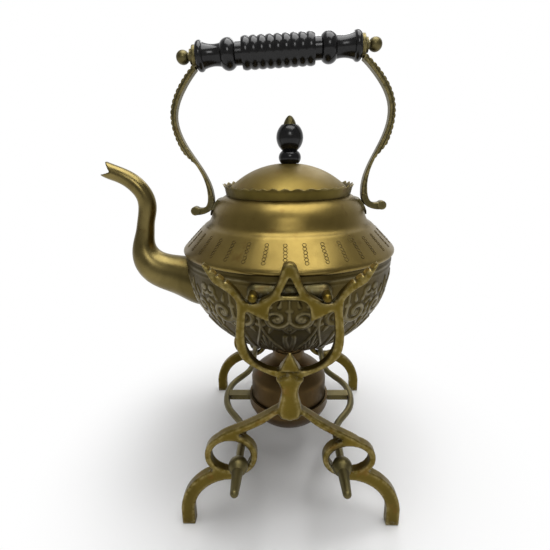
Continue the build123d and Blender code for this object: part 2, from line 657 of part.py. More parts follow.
def grip_end():
    """Groove, bulge, waist and flange, from the ribs to the grip's end."""
    rib_end = RIB_SPAN / 2
    bulge_x = (GROOVE_END + BULGE_END) / 2
    flange_start = (GRIP_HALF - FLANGE_T, FLANGE_R - FLANGE_EDGE)
    flange_end = (GRIP_HALF, FLANGE_R - FLANGE_EDGE)
    return [
        Polyline((rib_end, RIB_ROOT_R), (rib_end, GROOVE_R), (GROOVE_END, GROOVE_R)),
        ThreePointArc((GROOVE_END, GROOVE_R), (bulge_x, BULGE_R), (BULGE_END, GROOVE_R)),
        ThreePointArc((BULGE_END, GROOVE_R), (WAIST_X, WAIST_R), flange_start),
        ThreePointArc(flange_start, (GRIP_HALF - FLANGE_T / 2, FLANGE_R), flange_end),
        Line(flange_end, (GRIP_HALF, 0))]


def handle_grip():
    """The turned wooden grip, bored for the tie rod."""
    right = grip_end()
    left = [mirror(edge, about=Plane.YZ) for edge in right]
    profile = closed(*rib_profile(), *right, *left, Line((-GRIP_HALF, 0), (GRIP_HALF, 0)))
    bore = Pos(0, 0, GRIP_Z) * Rot(0, 90, 0) * Cylinder(ROD_R + RUNNING_GAP, 3 * GRIP_HALF)
    return lean(along_x(profile) - bore)


def finial():
    """Plate, neck and ball that clamp the grip on the rod, on the +X side."""
    plate_end = FINIAL_X + FINIAL_PLATE_T
    neck_end = plate_end + FINIAL_NECK_T
    ball_cut = (FINIAL_BALL_R ** 2 - FINIAL_NECK_R ** 2) ** 0.5
    ball_x = neck_end + ball_cut
    profile = closed(
        Polyline((ball_x + FINIAL_BALL_R, 0), (FINIAL_X, 0), (FINIAL_X, FINIAL_PLATE_R),
                 (plate_end, FINIAL_PLATE_R), (plate_end, FINIAL_NECK_R), (neck_end, FINIAL_NECK_R)),
        ThreePointArc((neck_end, FINIAL_NECK_R), (ball_x, FINIAL_BALL_R), (ball_x + FINIAL_BALL_R, 0)))
    hole = Pos(FINIAL_X + ROD_INTO_FINIAL / 2, 0, GRIP_Z) * Rot(0, 90, 0) * Cylinder(
        ROD_R + RUNNING_GAP, ROD_INTO_FINIAL + 2 * RUNNING_GAP)
    return along_x(profile) - hole


def grip_finials():
    """The two finials."""
    right = finial()
    return [lean(right), lean(mirror(right, about=Plane.YZ))]


# ---------------------------------------------------------------- lid
def dome_side(offset):
    """The lid dome's profile from its edge to its top, moved in by an offset."""
    crown_r, crown_z = LID_CROWN
    lean_in = LID_CROWN_IN * offset
    edge, rim = (LID_EDGE_R - offset, LID_SEAT_Z), (LID_RIM_R - offset, LID_RIM_Z)
    top = (0, LID_TOP_Z - offset)
    return closed(
        Polyline(top, (0, LID_SEAT_Z), edge),
        Spline(edge, rim, tangents=[(-0.1, 1), (-0.75, 0.6)]),
        ThreePointArc(rim, (crown_r - lean_in, crown_z - offset), top))


def lid_dome():
    """The domed lid, hollow, with an inward seat flange and a hole for the knob's stud."""
    dome = turned(dome_side(0)) - turned(dome_side(LID_WALL))
    flange = ring(LID_EDGE_R - LID_WALL / 2, LID_EDGE_R - LID_SEAT_W, LID_SEAT_Z, LID_SEAT_Z + LID_WALL)
    hole = Pos(KNOB_X, 0, LID_TOP_Z) * Cylinder(STUD_R + RUNNING_GAP, 10)
    return dome + flange - hole


def lid_plug():
    """The ring under the lid that drops into the kettle's mouth."""
    outer_r = MOUTH_R - PLUG_GAP
    return ring(outer_r, outer_r - PLUG_WALL, LID_SEAT_Z - PLUG_H, LID_SEAT_Z)


def lid_knob():
    """The turned wooden knob: lower bulge, neck and ball."""
    foot_z = LID_TOP_Z + RUNNING_GAP
    ball_top_r = (BALL_R ** 2 - (BALL_TOP_Z - BALL_Z) ** 2) ** 0.5
    profile = closed(
        Polyline((ball_top_r, BALL_TOP_Z), (0, BALL_TOP_Z), (0, foot_z), (KNOB_BASE_R, foot_z)),
        ThreePointArc((KNOB_BASE_R, foot_z), (LOWER_BULGE_R, LOWER_BULGE_Z), (KNOB_NECK_R, KNOB_NECK_Z)),
        ThreePointArc((KNOB_NECK_R, KNOB_NECK_Z), (BALL_R, BALL_Z), (ball_top_r, BALL_TOP_Z)))
    stud_hole = Pos(0, 0, foot_z) * Cylinder(STUD_R + RUNNING_GAP, 2 * (STUD_LEN + RUNNING_GAP))
    cap_depth = CAP_SPIGOT_LEN + RUNNING_GAP
    cap_hole = Pos(0, 0, BALL_TOP_Z) * Cylinder(CAP_SPIGOT_R + RUNNING_GAP, 2 * cap_depth)
    return Pos(KNOB_X, 0, 0) * (turned(profile) - stud_hole - cap_hole)


def knob_cap():
    """The pointed brass cap pinned into the knob's top."""
    profile = [(CAP_R, BALL_TOP_Z), *[(CAP_R * r, BALL_TOP_Z + CAP_H * z) for r, z in CAP_SHAPE]]
    cone = turned(closed(Spline(*profile), Polyline(profile[-1], (0, BALL_TOP_Z), profile[0])))
    spigot = Pos(0, 0, BALL_TOP_Z - CAP_SPIGOT_LEN / 2) * Cylinder(CAP_SPIGOT_R, CAP_SPIGOT_LEN)
    return Pos(KNOB_X, 0, 0) * (cone + spigot)


def knob_stud():
    """The screw from inside the lid up into the knob."""
    head_top = LID_TOP_Z - LID_WALL - STUD_HEAD_DROP
    high_z = LID_TOP_Z + STUD_LEN
    shank = Pos(0, 0, (head_top + high_z) / 2) * Cylinder(STUD_R, high_z - head_top)
    head = Pos(0, 0, head_top - STUD_HEAD_T / 2) * Cylinder(STUD_HEAD_R, STUD_HEAD_T)
    return Pos(KNOB_X, 0, 0) * (shank + head)


# ---------------------------------------------------------------- all nodes
def build_nodes():
    """Every sub-part by name: one solid, or a list of alike solids."""
    return {
        "stand_frame_front": stand_frame(-1),
        "stand_frame_rear": stand_frame(1),
        "carrier_bar_left": carrier_bar(-1),
        "carrier_bar_right": carrier_bar(1),
        "carrier_knobs": carrier_knobs(),
        "carrier_spokes": carrier_spokes(),
        "burner_cup": burner_cup(),
        "burner_font": burner_font(),
        "burner_wick_tube": wick_tube(),
        "burner_wick": wick(),
        "rest_pegs_spout_side": rest_pegs(-SADDLE_X),
        "rest_pegs_handle_side": rest_pegs(SADDLE_X),
        "rest_bar_front": rest_bar(-1),
        "rest_bar_rear": rest_bar(1),
        "kettle_bowl": kettle_bowl(),
        "kettle_shoulder": kettle_shoulder(),
        "kettle_gallery": gallery(),
        "kettle_spout": kettle_spout(),
        "handle_pad_left": handle_pad(-1),
        "handle_pad_right": handle_pad(1),
        "handle_arm_left": handle_arm(-1),
        "handle_arm_right": handle_arm(1),
        "handle_tie_rod": tie_rod(),
        "handle_grip": handle_grip(),
        "handle_finials": grip_finials(),
        "lid_dome": lid_dome(),
        "lid_plug": lid_plug(),
        "lid_knob": lid_knob(),
        "lid_knob_cap": knob_cap(),
        "lid_knob_stud": knob_stud(),
    }


os.makedirs("parts", exist_ok=True)
for name, piece in build_nodes().items():
    if isinstance(piece, list):
        piece = Compound(children=[Compound(solid.solids()) for solid in piece])
    export_step(piece, f"parts/{name}.step")
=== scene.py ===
"""The looks of a brass spirit kettle on its stand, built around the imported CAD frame.

Metres, +Z up, the spout along -X. Made here in place of CAD nodes: the stand's frames, the carrier
bars, the handle arms, the spout, the collar round the mouth, the knob's cap and the shoulder. Made
here on top of CAD nodes: the bowl's chasing and the cone's punched rings. The other nodes keep the
CAD shape.
"""
import json
import math

import bmesh
import bpy
import numpy as np
from mathutils import Matrix, Vector
from mathutils.bvhtree import BVHTree
from mathutils.kdtree import KDTree


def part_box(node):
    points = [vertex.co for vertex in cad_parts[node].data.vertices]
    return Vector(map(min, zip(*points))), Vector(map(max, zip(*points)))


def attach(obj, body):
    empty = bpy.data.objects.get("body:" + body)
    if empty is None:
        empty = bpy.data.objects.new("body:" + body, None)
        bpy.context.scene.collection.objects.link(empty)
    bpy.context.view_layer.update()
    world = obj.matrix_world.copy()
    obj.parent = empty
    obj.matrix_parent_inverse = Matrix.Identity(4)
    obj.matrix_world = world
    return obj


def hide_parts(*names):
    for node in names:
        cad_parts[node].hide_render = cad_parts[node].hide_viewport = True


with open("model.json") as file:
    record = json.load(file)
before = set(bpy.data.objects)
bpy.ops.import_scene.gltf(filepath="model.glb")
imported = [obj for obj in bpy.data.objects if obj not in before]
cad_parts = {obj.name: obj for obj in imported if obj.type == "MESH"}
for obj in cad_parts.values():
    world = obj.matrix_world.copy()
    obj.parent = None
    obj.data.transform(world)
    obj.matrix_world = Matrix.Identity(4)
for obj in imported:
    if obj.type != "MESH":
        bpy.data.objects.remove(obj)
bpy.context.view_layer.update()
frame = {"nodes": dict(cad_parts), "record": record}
MM = 0.001

# ---------------------------------------------------------------- sizes, in millimetres
# stand frames
FRAME_FACE_Y = 85.2         # the stand castings' outer faces, from the middle
FRAME_VOXEL = 0.7           # size of the even faces that the casting is made of here
GAP_Z = 150.2               # middle of the round gap under the arch
GAP_R = 13.0
GAP_HALF_W = 12.2
GAP_SQUARE = 3.6            # how square the gap's upper corners are
GAP_FALL = 2.2              # how far round it the metal follows
GAP_START = 4.0             # the gap starts to square this far below its middle, fully at the middle
HORN_FOOT_X = 25.0
HORN_FOOT_Z = 163.0
HORN_TIP_Z = 187.0
HORN_OUT = 2.6              # the horns' tips lean out and down by this much
HORN_DOWN = 1.8
SWELL_OUT = 1.0             # the horns' undersides swell out and down by this much at half height
SWELL_DOWN = 0.9
SWELL_REACH = 2.5           # how deep under the rim the swelling goes
HORN_CUTS = (35.5, 39.5, 43.0)
CUT_DEPTH = 0.9
CUT_HALF_W = 0.5
CUT_REACH = 1.6             # how deep under the rim the cuts go

# handle arms
ARM_FACE_Y = 3.5
ARM_VOXEL = 0.42            # as FRAME_VOXEL
ARM_STEP_Z = 238.0          # the arms are beaded above this
ARM_BEAD = {"pitch": 3.7, "height": 0.34, "reach": 1.4}
CORD_W = 2.2                # raised cord along the arms' inner edge
CORD_H = 0.45
CORD_FOOT_Z = 214.0         # no cord below this
CORD_EDGE_Y = 2.3           # the cord and its groove start this far out, and are full CORD_EDGE_W on
CORD_EDGE_W = 0.7
ARM_MARGIN = 0.1            # points this far past the arm's face still count as on it
GROOVE_W = 0.35
GROOVE_D = 0.45

# carrier bars
CARRIER_BAR_R = 2.6
CARRIER_UNEVEN = 0.03       # as a share of the radius
CARRIER_PATH = [            # from the front knob to the middle, on the handle's side
    (33.3, 84.2, 50.8), (33.3, 75.0, 50.8), (33.3, 66.0, 50.6), (33.3, 57.0, 49.2),
    (33.5, 48.0, 47.4), (35.0, 39.5, 46.4), (40.5, 31.0, 46.4), (47.5, 23.0, 46.4),
    (51.8, 12.5, 46.4), (52.6, 0.0, 46.4)]
CARRIER_ROWS = 160
CARRIER_TURNS = 20
CARRIER_ROUNDS = 90         # of evening out along the path

# spout and shoulder
SPOUT_VOXEL = 0.55
POLISH_ROUNDS = 40          # evens the spout out
POLISH_STEPS = (0.5, -0.52)     # in and back out, so that it doesn't get thinner
SHOULDER_VOXEL = 0.75
AXIS_Z = 150                # the kettle's outside is found by looking in at this point on its axis
LOOK_FROM = 300             # from this far out

# collar
CRIMPS = 38                 # round the collar
CRIMP_POINTS = 20
CRIMP_SIZES = (0.55, 1.2)   # the least and the largest crimp, as shares
CRIMP_OUT = 0.6
CRIMP_DIP = 1.2             # the lip dips this far between crimps
COLLAR_WALL = 0.8
COLLAR_FLARE = 1.8          # how much further out the lip is than the foot
COLLAR_ROWS = (0, 0.15, 0.35, 0.55, 0.7, 0.8, 0.88, 0.94, 1.0)     # shares of the height
LIP_START = 0.7             # the lip's lower end and its length, as shares of the height
LIP_LENGTH = 0.3
LIP_THINNER = 0.35          # share of the wall lost at the lip
LIP_ROUND = 0.25            # how far the lip's middle stands up

# knob cap
CAP_ROWS = 24
CAP_TURNS = 60
CAP_FOOT = 0.9              # the foot's radius, as a share
CAP_POINTED = 0.10          # how much the dome draws in towards its tip
CAP_DROOP = 0.08            # how much the dome's side hangs lower than a ball's

# punched rings
RING_COLUMNS = 36
RING_ROWS = 6
RING_R = 1.15               # to the middle of the ring's wire
RING_WIRE = 0.19
RING_PITCH = 2.5            # up the cone
RING_FIRST = -92.0          # degrees from +X to the first column
STRAY_ACROSS = 0.1          # how far a ring strays from its place
STRAY_UP = 0.15
COLUMN_LEAN = 0.02          # how far a column leans, across per mm up
CONE_ANGLES = (20.5, 35.5)  # degrees up from AXIS_Z to the cone's lower and upper edge

# chasing
RELIEF_H = 1.15             # of the chased work over its ground
STIPPLE = 0.10              # how rough the ground between the relief is
BORDER_FALL = 0.25          # the smaller, the more sharply the relief falls off at the borders
SKIN = 0.05                 # the ground's height over the bowl's wall
TUCK = 0.5                  # the skin's borders end this deep in the wall
CELLS = 12                  # repeats of the chased pattern round the bowl
CELL_POINTS = 78
CHASED_ROWS = 100
CHASED_ANGLES = (-50.5, 17.2)   # degrees up from AXIS_Z to the skin's lower and upper border
SCROLL_PLACE = (0.56, 0.66)     # the large scroll's middle, across and up as in line()
SCROLL_R = 8.6
LEAF_FROM = 9.6             # the leaves round the large scroll start and end this far from its middle
LEAF_TO = 14.2
HALF_CELL = 18.6            # half a repeat's width at the large scroll
BOWL_R_MIDDLE = 71          # the bowl's radius at the large scroll, and at the small one above it
BOWL_R_TOP = 75
SPOUT_ROOT_Z = 147          # middle of the oval at the spout's root that has no chasing
SPOUT_ROOT_Y_R = 14         # the oval's half width and half height
SPOUT_ROOT_Z_R = 16

# colours that change with height
BOWL_FOOT_Z = (113, 108)    # the bowl turns redder between these heights
SCORCH_Z = (94.5, 97.5)     # the wick is scorched above these


# ---------------------------------------------------------------- shader helpers
class Nodes:
    """A node tree, with short calls to add nodes and join them."""

    def __init__(self, tree):
        self.tree = tree
        tree.nodes.clear()

    def add(self, kind, inputs=None, output=0, **settings):
        """A new node's output. inputs maps a socket's name or number to a value or another output."""
        made = self.tree.nodes.new(kind)
        for key, value in settings.items():
            setattr(made, key, value)
        for key, value in (inputs or {}).items():
            self.give(made, key, value)
        return made.outputs[output]

    def give(self, made, key, value):
        """Sets a socket to a value, or joins it to an output."""
        if isinstance(value, bpy.types.NodeSocket):
            self.tree.links.new(value, made.inputs[key])
        else:
            made.inputs[key].default_value = value

    def end(self, kind, surface):
        """Joins a surface to a new output node."""
        self.give(self.tree.nodes.new(kind), "Surface", surface)

    def math(self, operation, a, b=0.0, clamp=False):
        return self.add("ShaderNodeMath", {0: a, 1: b}, operation=operation, use_clamp=clamp)

    def ramp(self, value, low, high, to_low=0.0, to_high=1.0, **settings):
        """The value moved from one range to another, and held inside it."""
        return self.add("ShaderNodeMapRange", {
            "Value": value, "From Min": low, "From Max": high, "To Min": to_low, "To Max": to_high},
            **settings)

    def between(self, factor, a, b):
        """Between two numbers."""
        return self.add("ShaderNodeMix", {0: factor, 2: a, 3: b})

    def seen_by(self, *rays):
        """1 for two kinds of ray, each the name of a Light Path output, and 0 for the others."""
        return self.math("MAXIMUM", *(self.add("ShaderNodeLightPath", output=ray) for ray in rays))


class Shader(Nodes):
    """A material with one Principled surface, and what the object's materials are mixed from."""

    def __init__(self, name):
        self.material = bpy.data.materials.new(name)
        self.material.use_nodes = True
        super().__init__(self.material.node_tree)
        self.surface = self.tree.nodes.new("ShaderNodeBsdfPrincipled")
        self.end("ShaderNodeOutputMaterial", self.surface.outputs[0])
        self.coordinates = self.add("ShaderNodeTexCoord", output="Object")
        self.height = self.add("ShaderNodeSeparateXYZ", {0: self.coordinates}, output=2)

    def mix(self, factor, a, b):
        """Between two colours."""
        return self.add("ShaderNodeMix", {0: factor, 6: a, 7: b}, output=2, data_type="RGBA")

    def noise(self, scale, detail=4.0, roughness=0.5, stretch=None, distortion=0.0):
        """Noise over the object, as a number, with scale in waves per metre."""
        vector = self.coordinates
        if stretch:
            vector = self.add("ShaderNodeVectorMath", {0: vector, 1: stretch}, operation="MULTIPLY")
        return self.add("ShaderNodeTexNoise", {
            "Vector": vector, "Scale": scale, "Detail": detail, "Roughness": roughness,
            "Distortion": distortion})

    def attribute(self, name):
        """A number that the mesh holds at each point, 0 where it holds none."""
        return self.add("ShaderNodeAttribute", attribute_name=name, output=2)

    def edge_wear(self, radius, low=0.02, high=0.25):
        """1 on sharp edges, from how much a small bevel would turn the surface."""
        bevel = self.add("ShaderNodeBevel", {"Radius": radius}, samples=4)
        true = self.add("ShaderNodeNewGeometry", output=1)
        turned = self.add("ShaderNodeVectorMath", {0: bevel, 1: true}, output=1, operation="DOT_PRODUCT")
        return self.ramp(turned, 1.0 - low, 1.0 - high)

    def hollow(self, distance):
        """1 in hollows and corners, 0 in the open."""
        found = self.add("ShaderNodeAmbientOcclusion", {"Distance": distance}, output=1, samples=8)
        return self.ramp(found, 1.0, 0.25)

    def bump(self, height, depth, strength=1.0, normal=None):
        """The normal turned by a height from 0 to 1 that stands for a depth in metres."""
        inputs = {"Height": height, "Distance": depth, "Strength": strength}
        if normal is not None:
            inputs["Normal"] = normal
        return self.add("ShaderNodeBump", inputs)

    def finish(self, **sockets):
        """The material, once the surface's sockets are given, with _ for each space in their names."""
        for key, value in sockets.items():
            self.give(self.surface, key.replace("_", " "), value)
        return self.material


def colour(red, green, blue):
    return (red, green, blue, 1.0)


# ---------------------------------------------------------------- materials
# near-black brown for soil and painted shade in hollows and corners
DARK_SOIL_AND_SHADE = colour(0.030, 0.022, 0.008)
POLISH = colour(0.40, 0.39, 0.30)
WORN = colour(0.36, 0.29, 0.12)
BRASSES = {                 # what brass() takes for each; the colours are bright, tarnish and stain
    "polished_brass": dict(
        colours=((0.226, 0.164, 0.047), (0.165, 0.116, 0.031), (0.130, 0.075, 0.020)),
        roughness=0.34, wear=0.30, shade_and_soil_share=0.45, turned=True, grain=0.000012),
    "cast_brass": dict(
        colours=((0.145, 0.102, 0.017), (0.088, 0.064, 0.011), (0.170, 0.085, 0.016)),
        roughness=0.42, wear=0.60, shade_and_soil_share=0.60, residue=1.0, grain=0.0001),
    "burner_brass": dict(
        colours=((0.120, 0.074, 0.028), (0.062, 0.042, 0.017), (0.130, 0.052, 0.015)),
        roughness=0.45, wear=0.3, shade_and_soil_share=0.6),
    "collar_brass": dict(
        colours=((0.150, 0.112, 0.026), (0.090, 0.068, 0.016), (0.120, 0.060, 0.014)),
        roughness=0.40, wear=0.6, shade_and_soil_share=0.6),
    "lid_brass": dict(
        colours=((0.190, 0.140, 0.036), (0.160, 0.112, 0.027), (0.165, 0.095, 0.024)),
        roughness=0.50, wear=0.3, shade_and_soil_share=0.5, grain=0.00001),
    "spout_brass": dict(
        colours=((0.215, 0.168, 0.062), (0.110, 0.084, 0.028), (0.085, 0.042, 0.012)),
        roughness=0.32, wear=0.0, shade_and_soil_share=0.45, grain=0.0),
    "aged_brass": dict(
        colours=((0.150, 0.125, 0.055), (0.085, 0.072, 0.028), (0.100, 0.060, 0.018)),
        roughness=0.42, wear=0.55, shade_and_soil_share=0.65, residue=0.35, grain=0.0001),
}


def brass(name, colours, roughness, wear, shade_and_soil_share, residue=0.0, turned=False, grain=0.00004):
    """Old brass: a bright ground, blotches of tarnish, a few stains, hollows darkened by soil and painted
    shade, and worn edges.

    residue is how much dried polish is left in the corners. turned adds the fine rings of the
    lathe. grain is the depth of the cast or spun surface in metres, and 0 leaves all bumps out.
    """
    look = Shader(name)
    bright, tarnish, stain = (colour(*mixed) for mixed in colours)
    blotch = look.ramp(look.noise(22, 5, 0.55, distortion=0.6), 0.35, 0.68)
    base = look.mix(blotch, bright, tarnish)
    spots = look.ramp(look.noise(75, 3, 0.6), 0.60, 0.74, 0.0, 0.7)
    base = look.mix(spots, base, stain)
    fine = look.ramp(look.noise(900, 2, 0.6), 0.45, 0.75, 0.0, 0.25)
    base = look.mix(fine, base, tarnish)
    # painted shade: hollows and corners, found by ambient occlusion and by the mesh's hollow values, are
    # darkened, partly as soil and partly as the shade that falls there
    hollow = look.math("MAXIMUM", look.hollow(0.006), look.attribute("hollow"))
    soil_and_shade = look.math("MULTIPLY", hollow, shade_and_soil_share, clamp=True)
    base = look.mix(soil_and_shade, base, DARK_SOIL_AND_SHADE)
    if residue:
        corners = look.math("MULTIPLY", look.hollow(0.005), look.ramp(look.noise(420, 3, 0.7), 0.50, 0.60))
        base = look.mix(look.math("MULTIPLY", corners, residue, clamp=True), base, POLISH)
    rubbed = look.math("MULTIPLY", look.attribute("worn"), look.ramp(look.noise(260, 3, 0.6), 0.35, 0.65))
    edges = look.math("MULTIPLY", look.math("MAXIMUM", look.edge_wear(0.0005), rubbed), wear, clamp=True)
    base = look.mix(edges, base, WORN)
    rough = look.ramp(look.noise(60, 4, 0.6), 0.3, 0.7, roughness - 0.07, roughness + 0.10)
    rough = look.math("ADD", rough, look.math("MULTIPLY", soil_and_shade, 0.25))
    rough = look.math("SUBTRACT", rough, look.math("MULTIPLY", edges, 0.10))
    sockets = {"Base_Color": base, "Metallic": 1.0, "Roughness": rough}
    if not grain:
        return look.finish(**sockets)
    normal = look.bump(look.noise(700, 3, 0.65), grain)
    if turned:
        rings = look.add("ShaderNodeTexNoise", {"W": look.height, "Scale": 2600.0}, noise_dimensions="1D")
        normal = look.bump(rings, 0.000012, normal=normal)
    sockets["Normal"] = look.bump(look.noise(45, 2, 0.4), 0.00025, 0.5, normal=normal)
    return look.finish(**sockets)


def chased_brass():
    """The chased bowl: greyish and rubbed on the relief's tops, dark in its ground, redder at its foot."""
    look = Shader("chased_brass")
    relief = look.attribute("relief")
    ground = look.mix(look.ramp(look.noise(40, 4, 0.6), 0.35, 0.65),
                      colour(0.055, 0.042, 0.013), colour(0.100, 0.073, 0.023))
    tops = look.mix(look.ramp(look.noise(90, 4, 0.6), 0.35, 0.65),
                    colour(0.095, 0.075, 0.028), colour(0.190, 0.160, 0.088))
    base = look.mix(look.ramp(relief, 0.20, 0.75), ground, tops)
    foot = look.ramp(look.height, *(z * MM for z in BOWL_FOOT_Z))
    base = look.mix(foot, base, colour(0.20, 0.10, 0.025))
    # painted shade: the chasing's hollows are darkened, partly as soil and partly as the shade that falls
    # there
    soil_and_shade = look.math("MULTIPLY", look.hollow(0.0025), 0.9, clamp=True)
    base = look.mix(soil_and_shade, base, DARK_SOIL_AND_SHADE)
    rough = look.ramp(relief, 0.2, 0.9, 0.50, 0.32)
    normal = look.bump(look.noise(1100, 3, 0.6), 0.00006)
    return look.finish(Base_Color=base, Metallic=1.0, Roughness=rough, Normal=normal)


def punched_line():
    """Dark tarnish and painted shade in the punched rings' lines: the raised rings are dark where real
    punched grooves hold tarnish and shade.
    """
    look = Shader("punched_line")
    base = look.mix(look.ramp(look.noise(300, 3, 0.6), 0.35, 0.65),
                    colour(0.045, 0.032, 0.010), colour(0.120, 0.085, 0.030))
    normal = look.bump(look.noise(2500), 0.00002)
    return look.finish(Base_Color=base, Metallic=1.0, Roughness=0.5, Normal=normal)


def black_wood():
    """Ebonised turned wood: nearly black, with a thin polish and the grain just showing."""
    look = Shader("black_wood")
    grain = look.noise(160, 5, 0.6, stretch=(0.08, 1.0, 1.0))
    base = look.mix(look.ramp(grain, 0.4, 0.7), colour(0.004, 0.004, 0.0045), colour(0.010, 0.0095, 0.009))
    edges = look.math("MULTIPLY", look.edge_wear(0.0004), 0.2, clamp=True)
    base = look.mix(edges, base, colour(0.05, 0.046, 0.042))
    rough = look.ramp(look.noise(90, 3, 0.6), 0.3, 0.7, 0.14, 0.26)
    look.surface.inputs["Specular IOR Level"].default_value = 0.34
    return look.finish(Base_Color=base, Roughness=rough, Normal=look.bump(grain, 0.00005))


def cotton():
    """Woven cotton wick, scorched at the top."""
    look = Shader("cotton")
    weave = look.add("ShaderNodeTexWave", {
        "Vector": look.coordinates, "Scale": 420.0, "Distortion": 6.0}, output=1)
    base = look.mix(weave, colour(0.16, 0.12, 0.08), colour(0.34, 0.28, 0.20))
    scorched = look.ramp(look.height, *(z * MM for z in SCORCH_Z))
    base = look.mix(scorched, base, colour(0.02, 0.018, 0.016))
    return look.finish(Base_Color=base, Roughness=0.95, Normal=look.bump(weave, 0.0003))


def make_materials():
    """All the object's materials by name. The record's slots are among the names."""
    materials = {name: brass(name, **recipe) for name, recipe in BRASSES.items()}
    return materials | {
        "chased_brass": chased_brass(), "black_wood": black_wood(), "cotton": cotton(),
        "punched_line": punched_line()}


OTHER_MATERIALS = {         # nodes that look different from the rest of their slot
    "carrier_knobs": "aged_brass", "carrier_spokes": "aged_brass",
    "handle_pad_left": "aged_brass", "handle_pad_right": "aged_brass",
    "handle_finials": "aged_brass", "lid_dome": "lid_brass",
    "rest_bar_front": "aged_brass", "rest_bar_rear": "aged_brass",
}


def dress_nodes():
    """Gives each CAD node the material of its slot, or the one that it has instead."""
    for part in frame["record"]["subparts"]:
        node = frame["nodes"][part["node"]]
        node.data.materials.clear()
        node.data.materials.append(MATERIALS[OTHER_MATERIALS.get(part["node"], part["material_slot"])])


# ---------------------------------------------------------------- mesh helpers
def add_piece(name, points, faces, body, slot, replaces=(), material=None, **values):
    """A new piece on a body. values are numbers for each point that its material reads."""
    mesh = bpy.data.meshes.new(name)
    mesh.from_pydata(points.tolist(), [], faces.tolist())
    mesh.polygons.foreach_set("use_smooth", [True] * len(mesh.polygons))
    for key, numbers in values.items():
        mesh.attributes.new(key, "FLOAT", "POINT").data.foreach_set("value", numbers)
    mesh.materials.append(MATERIALS[material or slot])
    mesh.update()
    piece = bpy.data.objects.new(name, mesh)
    bpy.context.scene.collection.objects.link(piece)
    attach(piece, body)
    if replaces:
        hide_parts(*replaces)


def welded(node):
    """A CAD node's mesh as a bmesh with shared corners."""
    shape = bmesh.new()
    shape.from_mesh(frame["nodes"][node].data)
    bmesh.ops.remove_doubles(shape, verts=shape.verts, dist=1e-6)
    return shape


def neighbour_mean(points, edges):
    """Each point's mean neighbour."""
    starts, ends = np.concatenate([edges, edges[:, ::-1]]).T
    count = np.bincount(starts, minlength=len(points))
    total = [np.bincount(starts, points[ends, axis], len(points)) for axis in range(3)]
    return np.stack(total, axis=1) / count[:, None]


def even_copy(node, voxel, rounds):
    """Points, quads and edges of a CAD node's shape in small even faces, its corners softened."""
    shape = welded(node)
    mesh = bpy.data.meshes.new("even")
    shape.to_mesh(mesh)
    shape.free()
    holder = bpy.data.objects.new("even", mesh)
    bpy.context.scene.collection.objects.link(holder)
    remesh = holder.modifiers.new("even", "REMESH")
    remesh.mode = "VOXEL"
    remesh.voxel_size = voxel * MM
    made = holder.evaluated_get(bpy.context.evaluated_depsgraph_get()).to_mesh()
    points = np.empty(3 * len(made.vertices))
    made.vertices.foreach_get("co", points)
    quads = np.empty(len(made.loops), np.int64)
    made.loops.foreach_get("vertex_index", quads)
    edges = np.empty(2 * len(made.edges), np.int64)
    made.edges.foreach_get("vertices", edges)
    bpy.data.objects.remove(holder)
    bpy.data.meshes.remove(mesh)
    points, quads, edges = points.reshape(-1, 3), quads.reshape(-1, 4), edges.reshape(-1, 2)
    for _ in range(rounds):
        points = (points + neighbour_mean(points, edges)) / 2
    return points, quads, edges


def grid_quads(rows, turns):
    """Quads of a grid of points that goes all the way round, seen from outside."""
    number = np.arange(rows * turns).reshape(rows, turns)
    beyond = np.roll(number, -1, axis=1)
    return np.stack([number[:-1], beyond[:-1], beyond[1:], number[1:]], axis=-1).reshape(-1, 4)


def around(radius, height, angle):
    """Points from radii and heights, each by row and turn, at the turns' angles."""
    return np.stack([radius * np.cos(angle), radius * np.sin(angle), height], axis=-1).reshape(-1, 3)


def point_normals(points, quads):
    """Unit normals at the points of a mesh of quads."""
    a, b, c, d = (points[quads[:, k]] for k in range(4))
    face = np.cross(c - a, d - b)
    total = np.zeros_like(points)
    for k in range(4):
        for axis in range(3):
            total[:, axis] += np.bincount(quads[:, k], face[:, axis], len(points))
    return total / np.maximum(np.linalg.norm(total, axis=1), 1e-12)[:, None]


def wear_values(points, quads, edges, rounds=6, full=0.10):
    """How far each point stands out of, or lies in, its smoothed surface, from 0 to 1 at full mm."""
    smooth = points
    for _ in range(rounds):
        smooth = (smooth + neighbour_mean(smooth, edges)) / 2
    out = ((points - smooth) * point_normals(points, quads)).sum(axis=1) / (full * MM)
    return {"worn": np.clip(out, 0, 1), "hollow": np.clip(-out, 0, 1)}


class Rim:
    """Closely spaced points along an edge of a casting's face, in x and z, with their outward directions."""

    STEP = 0.1 * MM
    SPREAD = 5              # places before and behind that give the rim's direction

    def __init__(self, places, along, outward):
        self.places, self.along, self.outward = places, along, outward
        self.tree = KDTree(len(places))
        for number, (x, z) in enumerate(places):
            self.tree.insert((x, 0, z), number)
        self.tree.balance()

    @classmethod
    def of_face(cls, node, y):
        """The longest closed edge of a node's flat face at y, anticlockwise from its lowest corner."""
        corners = max(flat_edges(node, y), key=len)
        x, z = corners.T
        if np.sum(x * np.roll(z, -1) - np.roll(x, -1) * z) < 0:
            corners = corners[::-1]
        corners = np.roll(corners, -np.lexsort(corners.T)[0], axis=0)
        closed = np.vstack([corners, corners[:1]])
        reach = np.concatenate([[0], np.cumsum(np.linalg.norm(np.diff(closed, axis=0), axis=1))])
        along = np.arange(0, reach[-1], cls.STEP)
        places = np.stack([np.interp(along, reach, closed[:, k]) for k in range(2)], axis=1)
        ahead = np.roll(places, -cls.SPREAD, axis=0) - np.roll(places, cls.SPREAD, axis=0)
        ahead /= np.linalg.norm(ahead, axis=1)[:, None]
        return cls(places, along, np.stack([ahead[:, 1], -ahead[:, 0]], axis=1))

    def part(self, wanted):
        return Rim(self.places[wanted], self.along[wanted], self.outward[wanted])

    def nearest(self, points):
        """Each point's nearest place on the rim, by number, and its distance."""
        found = [self.tree.find((x, 0, z))[1:] for x, _, z in points]
        numbers, distances = zip(*found)
        return np.array(numbers), np.array(distances)


